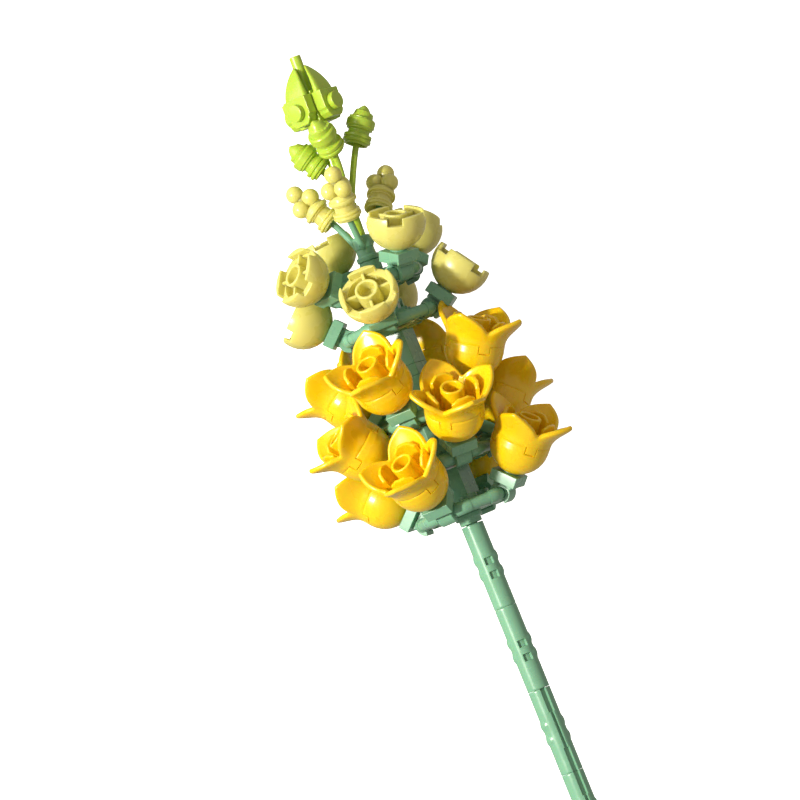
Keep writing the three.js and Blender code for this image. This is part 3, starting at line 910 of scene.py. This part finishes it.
def set_down(name, mesh, place, slot, node_name):
    """Puts a copy of a form in its place, above the floor, as the piece that stands for a node."""
    made = mesh.copy()
    made.name = name
    made.transform(place)
    flat = np.empty(len(made.vertices) * 3, np.float32)
    made.vertices.foreach_get("co", flat)
    points = flat.reshape(-1, 3)
    points[:, 2] = np.maximum(points[:, 2], LOWEST / 1000)
    made.vertices.foreach_set("co", points.ravel())
    made.materials.clear()
    made.materials.append(paint(slot))
    made.shade_smooth()
    made.set_sharp_from_angle(angle=math.radians(SHARP_ANGLE))
    piece = bpy.data.objects.new(name, made)
    bpy.context.collection.objects.link(piece)
    even = piece.modifiers.new("Even shading", "WEIGHTED_NORMAL")
    even.keep_sharp = True
    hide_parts(node_name)
    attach(piece, "root")
    return piece


def arms_with(flower):
    """Ring number, ring and place of each arm that carries this kind of flower."""
    for number, ring in enumerate(RINGS, 1):
        for place in range(4):
            if flower in (ring["flower"], "any"):
                yield number, ring, place


# Stage: a wide white floor, two lamps at the left and the photograph's camera

def put_floor(half):
    corners = [(-half, -half, 0), (half, -half, 0), (half, half, 0), (-half, half, 0)]
    mesh = bpy.data.meshes.new("Floor")
    mesh.from_pydata(corners, [], [(0, 1, 2, 3)])
    mesh.materials.append(white_board())
    floor = bpy.data.objects.new("Floor", mesh)
    bpy.context.collection.objects.link(floor)
    floor.visible_diffuse = False
    floor.visible_glossy = False


def view_axes():
    """The spot at the picture's middle, and the directions right, up and towards the camera."""
    tilt, roll = math.radians(VIEW["tilt"]), math.radians(VIEW["roll"])
    right = Vector((1, 0, 0))
    up = Vector((0, math.sin(tilt), math.cos(tilt)))
    toward = Vector((0, -math.cos(tilt), math.sin(tilt)))
    across = right * math.cos(roll) - up * math.sin(roll)
    upward = right * math.sin(roll) + up * math.cos(roll)
    centre = UPRIGHT @ (right * VIEW["right"] + up * VIEW["up"])
    turn = UPRIGHT.to_3x3().normalized()
    return centre, [(turn @ v).normalized() for v in (across, upward, toward)]


def put_camera(centre, axes):
    camera = bpy.data.cameras.new("Camera")
    camera.lens = camera.sensor_width * VIEW["distance"] / VIEW["field"]
    camera.clip_start, camera.clip_end = 0.05, 20
    holder = bpy.data.objects.new("Camera", camera)
    facing = Matrix(axes).transposed().to_4x4()
    holder.matrix_world = Matrix.Translation(centre + axes[2] * VIEW["distance"]) @ facing
    bpy.context.collection.objects.link(holder)
    bpy.context.scene.camera = holder


def put_lamp(name, power, size, colour, centre, axes, spot):
    """A square lamp facing the centre, from a spot in metres right, up and towards the camera."""
    lamp = bpy.data.lights.new(name, "AREA")
    lamp.energy = power
    lamp.size = size
    lamp.color = hex_colour(colour)
    holder = bpy.data.objects.new(name, lamp)
    away = sum((axis * s for axis, s in zip(axes, spot)), Vector())
    holder.location = centre + away
    holder.rotation_mode = "QUATERNION"
    holder.rotation_quaternion = (-away).to_track_quat("-Z", "Y")
    bpy.context.collection.objects.link(holder)


# Settings

def millimetres(label, about, value, low, high):
    return bpy.props.FloatProperty(
        name=label, description=about, default=value / 1000, min=low / 1000, max=high / 1000,
        unit="LENGTH", precision=4,
    )


def colour_setting(label, about, text):
    return bpy.props.FloatVectorProperty(
        name=label, description=about, default=hex_colour(text), size=3, min=0, max=1,
        subtype="COLOR",
    )


class BloomSizes(bpy.types.PropertyGroup):
    petal_reach: millimetres("Petal reach", "From the bloom's axis to a petal's tip", 12.4, 9, 13)
    petal_height: millimetres("Petal height", "From the bloom's centre up to a tip", 9.6, 6, 11)
    petal_wall: millimetres("Petal wall", "Thickness of the outer petals", 1.35, 0.5, 1.6)
    seam_depth: millimetres("Seam depth", "Depth of the line under the petals", 0.45, 0, 0.6)
    petal_point: bpy.props.FloatProperty(
        name="Petal point", description="How straight a petal's sides run to its tip",
        default=0.65, min=0, max=1, subtype="FACTOR",
    )


class PlasticFinish(bpy.types.PropertyGroup):
    stem_green: colour_setting("Stem green", "Sleeves, hubs and clip tiles", "78AC8B")
    petal_yellow: colour_setting("Petal yellow", "Blooms", "F4CA0A")
    pale_yellow: colour_setting("Pale yellow", "Cups and pale buds", "DBD376")
    lime: colour_setting("Lime", "Lime buds and tip", "B0CB3E")
    gloss: bpy.props.FloatProperty(
        name="Roughness", description="Mean roughness of the moulded faces",
        default=0.26, min=0.02, max=0.8, subtype="FACTOR",
    )


class StudioLight(bpy.types.PropertyGroup):
    key: bpy.props.FloatProperty(
        name="Key light", description="Power of the light at the left, in watts",
        default=29.5, min=0, max=200,
    )
    soft: bpy.props.FloatProperty(
        name="Soft box", description="Power of the wide white box at the left, in watts",
        default=9.5, min=0, max=200,
    )
    fill: bpy.props.FloatProperty(
        name="Fill light", description="Strength of the light from all round",
        default=0.42, min=0, max=5,
    )
    floor_size: bpy.props.FloatProperty(
        name="Floor size", description="Side of the floor", default=4.0, min=1, max=20,
        unit="LENGTH",
    )


# Operators

class SNAPDRAGON_OT_stem(bpy.types.Operator):
    """Nine sleeves in a row on the core rod, each turned its own way"""

    bl_idname = "snapdragon.stem"
    bl_label = "Stem"

    def execute(self, context):
        sleeve = form("Stem sleeve", sleeve_shape())
        for i, turn in enumerate(SLEEVE_TURN):
            place = UPRIGHT @ shift(z=-i * SLEEVE_LENGTH) @ turn_about("Z", turn)
            set_down(f"Stem_sleeve_{i + 1}", sleeve, place, "stem_green", f"stem_sleeve_{i + 1}")
        rod_form = form("Core rod", core_rod_shape())
        set_down("Core_rod", rod_form, UPRIGHT, "stem_green", "core_rod")
        return {"FINISHED"}


class SNAPDRAGON_OT_hubs(bpy.types.Operator):
    """A plate in an octagonal bar frame for each ring of flowers, with the bricks above it"""

    bl_idname = "snapdragon.hubs"
    bl_label = "Hub plates"

    def execute(self, context):
        for number, ring in enumerate(RINGS, 1):
            above = RINGS[number]["level"] - PLATE / 2 if number < 5 else SPRIG["height"]
            column_top = above - GAP - ring["level"]
            studs = ring_of(stud_shape(), 4, UNIT / 2 * math.sqrt(2), 45)
            studs = moved(studs, shift(z=PLATE / 2 - 0.3))
            hub = form("Hub plate", joined([hub_shape(column_top), studs]))
            name = f"Hub_plate_{number}"
            set_down(name, hub, ring_at(ring), "stem_green", f"hub_plate_{number}")
        return {"FINISHED"}


class SNAPDRAGON_OT_clip_tiles(bpy.types.Operator):
    """The small tiles that clip on to the bar frames and carry the flowers"""

    bl_idname = "snapdragon.clip_tiles"
    bl_label = "Clip tiles"

    def execute(self, context):
        tile = form("Clip tile", clip_tile_shape())
        for number, ring, place in arms_with("any"):
            name = f"clip_tile_{number}_{place + 1}"
            set_down(name.capitalize(), tile, arm_at(ring, place), "stem_green", name)
        return {"FINISHED"}


class SNAPDRAGON_OT_blooms(bpy.types.Operator):
    """Open blooms: a round cup and a crown of four petals, four inner petals and a tube"""

    bl_idname = "snapdragon.blooms"
    bl_label = "Blooms"

    def execute(self, context):
        sizes = context.scene.snapdragon_bloom
        crown = ring_of(crown_quarter(sizes), 4)
        inner = ring_of(inner_petal_shape(), 4)
        bloom = form("Bloom", joined([crown, inner, bloom_tube_shape()]))
        for number, ring, place in arms_with("bloom"):
            name = f"bloom_{number}_{place + 1}"
            set_down(name.capitalize(), bloom, seat_at(ring, place), "petal_yellow", name)
        return {"FINISHED"}


class SNAPDRAGON_OT_cups(bpy.types.Operator):
    """Pale closing cups: a round body with four lugs round a square opening"""

    bl_idname = "snapdragon.cups"
    bl_label = "Cups"

    def execute(self, context):
        cup = form("Cup", joined([ring_of(cup_quarter(), 4), cup_inside()]))
        for number, ring, place in arms_with("cup"):
            name = f"cup_{number}_{place + 1}"
            set_down(name.capitalize(), cup, seat_at(ring, place), "pale_yellow", name)
        return {"FINISHED"}


class SNAPDRAGON_OT_collar(bpy.types.Operator):
    """The green collar on top of the head, with its three stalks"""

    bl_idname = "snapdragon.collar"
    bl_label = "Collar"

    def execute(self, context):
        collar = form("Collar", collar_shape())
        set_down("Collar_sprig", collar, SPRIG_AT, "stem_green", "collar_sprig")
        return {"FINISHED"}


class SNAPDRAGON_OT_pale_buds(bpy.types.Operator):
    """Pale buds with two bands, a neck and four balls"""

    bl_idname = "snapdragon.pale_buds"
    bl_label = "Pale buds"

    def execute(self, context):
        balls = ring_of(ball_shape(9.0), 3, 2.45, 30)
        bud_form = form("Pale bud", joined([pale_bud_shape(), balls]))
        for number, bud in enumerate(PALE_BUDS, 1):
            name = f"pale_bud_{number}"
            place = SPRIG_AT @ on_sprig(bud)
            set_down(name.capitalize(), bud_form, place, "pale_yellow", name)
        return {"FINISHED"}


class SNAPDRAGON_OT_lime_sprig(bpy.types.Operator):
    """The lime stem with its buds, and the tip of four plates round a rod"""

    bl_idname = "snapdragon.lime_sprig"
    bl_label = "Lime sprig"

    def execute(self, context):
        plates = ring_of(tip_plate_shape(), 4, start=TIP["turn"])
        plates = moved(plates, shift(z=TIP["base"]))
        sprig = form("Lime sprig", joined([lime_stem_shape(), plates]))
        set_down("Lime_sprig", sprig, SPRIG_AT, "lime", "lime_sprig")
        return {"FINISHED"}


class SNAPDRAGON_OT_stage(bpy.types.Operator):
    """White floor, light from the upper left and the camera of the photograph"""

    bl_idname = "snapdragon.stage"
    bl_label = "Stage"

    def execute(self, context):
        light = context.scene.snapdragon_light
        put_floor(light.floor_size / 2)
        centre, axes = view_axes()
        put_camera(centre, axes)
        put_lamp("Key", light.key, 0.12, "FFFAF0", centre, axes, (-1.12, -0.12, 1.12))
        put_lamp("Soft box", light.soft, 1.1, "FFFFFF", centre, axes, (-1.25, 0.35, 0.6))
        world = bpy.data.worlds.new("Studio")
        world.use_nodes = True
        sky = world.node_tree.nodes["Background"]
        sky.inputs["Color"].default_value = (*hex_colour("FFF8F0"), 1)
        sky.inputs["Strength"].default_value = light.fill
        context.scene.world = world
        context.scene.view_settings.view_transform = "Standard"
        return {"FINISHED"}


class SNAPDRAGON_PT_panel(bpy.types.Panel):
    """Sizes, colours and pieces of the flower"""

    bl_idname = "SNAPDRAGON_PT_panel"
    bl_label = "Snapdragon"
    bl_space_type = "VIEW_3D"
    bl_region_type = "UI"
    bl_category = "Snapdragon"

    def draw(self, context):
        scene = context.scene
        for group in (scene.snapdragon_bloom, scene.snapdragon_finish, scene.snapdragon_light):
            box = self.layout.box()
            for setting in group.__annotations__:
                box.prop(group, setting)
        for piece in OPERATORS:
            self.layout.operator(piece.bl_idname)


SETTINGS = {
    "snapdragon_bloom": BloomSizes,
    "snapdragon_finish": PlasticFinish,
    "snapdragon_light": StudioLight,
}
OPERATORS = (
    SNAPDRAGON_OT_stem,
    SNAPDRAGON_OT_hubs,
    SNAPDRAGON_OT_clip_tiles,
    SNAPDRAGON_OT_blooms,
    SNAPDRAGON_OT_cups,
    SNAPDRAGON_OT_collar,
    SNAPDRAGON_OT_pale_buds,
    SNAPDRAGON_OT_lime_sprig,
    SNAPDRAGON_OT_stage,
)


def register():
    for made in (*SETTINGS.values(), *OPERATORS, SNAPDRAGON_PT_panel):
        bpy.utils.register_class(made)
    for name, group in SETTINGS.items():
        setattr(bpy.types.Scene, name, bpy.props.PointerProperty(type=group))


def unregister():
    for name in SETTINGS:
        delattr(bpy.types.Scene, name)
    for made in (SNAPDRAGON_PT_panel, *reversed(OPERATORS), *SETTINGS.values()):
        bpy.utils.unregister_class(made)


def main():
    register()
    for slot in FINISHES:
        paint(slot)
    for piece in OPERATORS:
        area, action = piece.bl_idname.split(".")
        getattr(getattr(bpy.ops, area), action)()


if __name__ == "__main__":
    main()
